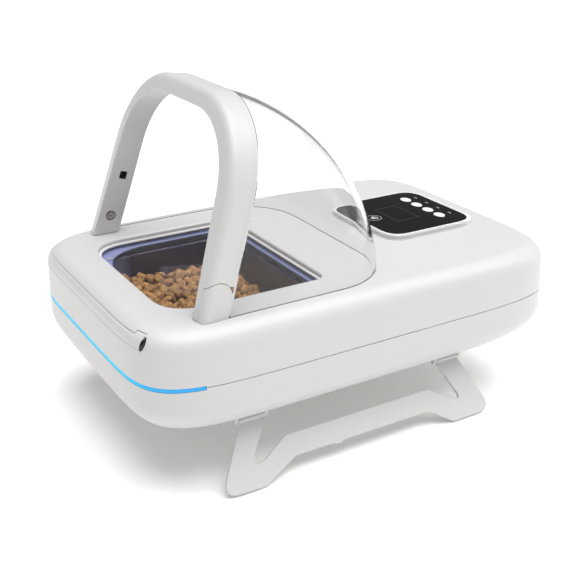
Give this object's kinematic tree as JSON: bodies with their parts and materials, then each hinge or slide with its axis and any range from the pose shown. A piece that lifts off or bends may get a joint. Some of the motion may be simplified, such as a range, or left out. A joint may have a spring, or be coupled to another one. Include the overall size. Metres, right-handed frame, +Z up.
{
  "type": "automatic pet feeder",
  "caption": "Automatic pet feeder: a low casing on folding stands, a covered bowl with a sliding lid under a leaning antenna arch with a clear hood, and a control panel.",
  "frame": {"origin": "on the table, under the middle of the casing's plan", "axes": "+Z up; +X across the feeder, to the right seen from the front; -Y is the front, where the pet eats, and the length runs along Y"},
  "size_m": [0.2342, 0.3396, 0.2495],
  "materials": {
    "shell_white": "fine satin moulding",
    "light_blue": "diffusing light guide, lit",
    "board_white": "white solder mask",
    "inner_grey": "plain inner moulding",
    "bowl_plum": "dark plum gloss moulding",
    "kibble": "dry baked food",
    "pad_rubber": "matt",
    "steel": "zinc plated",
    "seal_grey": "matt wiper strip",
    "lid_tint": "tinted clear, polished",
    "gear_cream": "natural acetal",
    "dark_grey": "matt moulding",
    "copper": "enamelled winding wire",
    "clear": "clear polished acrylic",
    "black_gloss": "piano black",
    "display_dark": "dark display glass",
    "board_green": "green solder mask",
    "button_white": "satin",
    "cell_blue": "wrapped cell"
  },
  "bodies": {
    "base": {"lower_casing": "shell_white", "upper_casing": "shell_white", "light_strip": "light_blue", "led_board": "board_white", "bowl_cradle": "inner_grey", "feed_bowl": "bowl_plum", "kibble": "kibble", "stand_pin_left_front": "steel", "stand_pin_left_rear": "steel", "stand_pin_right_front": "steel", "stand_pin_right_rear": "steel", "opening_seal": "seal_grey", "lid_rail_left": "inner_grey", "lid_rail_right": "inner_grey", "gearbox": "dark_grey", "gear_motor": "steel", "arch_foot_left": "shell_white", "arch_foot_right": "shell_white", "pivot_screw_left": "steel", "pivot_screw_right": "steel", "panel_block": "clear", "panel_face": "black_gloss", "display": "display_dark", "panel_board": "board_green", "button_dome_1": "steel", "button_dome_2": "steel", "button_dome_3": "steel", "button_dome_4": "steel", "main_board": "board_green", "battery_1": "cell_blue", "battery_2": "cell_blue", "battery_3": "cell_blue", "battery_4": "cell_blue", "casing_screw_1": "steel", "casing_screw_2": "steel", "casing_screw_3": "steel", "casing_screw_4": "steel"},
    "hood_arch": {"arch_front_shell": "shell_white", "arch_rear_shell": "shell_white", "antenna_coil": "copper", "hood": "clear", "sensor_window_left": "black_gloss", "sensor_window_right": "black_gloss"},
    "lid": {"lid_pane": "lid_tint", "lid_carrier": "inner_grey"},
    "pinion": {"lid_pinion": "gear_cream", "pinion_shaft": "steel"},
    "stand_left": {"stand_left": "shell_white", "foot_pad_left_front": "pad_rubber", "foot_pad_left_rear": "pad_rubber"},
    "stand_right": {"stand_right": "shell_white", "foot_pad_right_front": "pad_rubber", "foot_pad_right_rear": "pad_rubber"},
    "battery_door": {"battery_door": "shell_white"},
    "release_bar": {"release_bar": "shell_white"},
    "button_1": {"button_1": "button_white"},
    "button_2": {"button_2": "button_white"},
    "button_3": {"button_3": "button_white"},
    "button_4": {"button_4": "button_white"}
  },
  "joints": [
    {"name": "hood_tilt", "type": "hinge", "parent": "base", "child": "hood_arch", "pos_m": [0, -0.1136, 0.1352], "axis": [1, 0, 0], "range_deg": [0, 32]},
    {"name": "lid_slide", "type": "slide", "parent": "base", "child": "lid", "axis": [0, 1, 0], "range_m": [0, 0.12]},
    {"name": "pinion_spin", "type": "hinge", "parent": "base", "child": "pinion", "pos_m": [0.0724, 0, 0.10004], "axis": [-1, 0, 0], "range_deg": [0, 690]},
    {"name": "stand_left_fold", "type": "hinge", "parent": "base", "child": "stand_left", "pos_m": [-0.0912, 0, 0.0406], "axis": [0, -1, 0], "range_deg": [0, 108]},
    {"name": "stand_right_fold", "type": "hinge", "parent": "base", "child": "stand_right", "pos_m": [0.0912, 0, 0.0406], "axis": [0, 1, 0], "range_deg": [0, 108]},
    {"name": "battery_door_open", "type": "hinge", "parent": "base", "child": "battery_door", "pos_m": [0, 0.1276, 0.0425], "axis": [1, 0, 0], "range_deg": [0, 80]},
    {"name": "release_bar_press", "type": "slide", "parent": "base", "child": "release_bar", "axis": [0, 1, 0], "range_m": [0, 0.002], "stiffness_N_per_m": 400},
    {"name": "button_1_press", "type": "slide", "parent": "base", "child": "button_1", "axis": [0, 0, -1], "range_m": [0, 0.0008], "stiffness_N_per_m": 600},
    {"name": "button_2_press", "type": "slide", "parent": "base", "child": "button_2", "axis": [0, 0, -1], "range_m": [0, 0.0008], "stiffness_N_per_m": 600},
    {"name": "button_3_press", "type": "slide", "parent": "base", "child": "button_3", "axis": [0, 0, -1], "range_m": [0, 0.0008], "stiffness_N_per_m": 600},
    {"name": "button_4_press", "type": "slide", "parent": "base", "child": "button_4", "axis": [0, 0, -1], "range_m": [0, 0.0008], "stiffness_N_per_m": 600}
  ],
  "couplings": [
    {"joint": "pinion_spin", "follows": "lid_slide", "rad_per_m": 100}
  ]
}
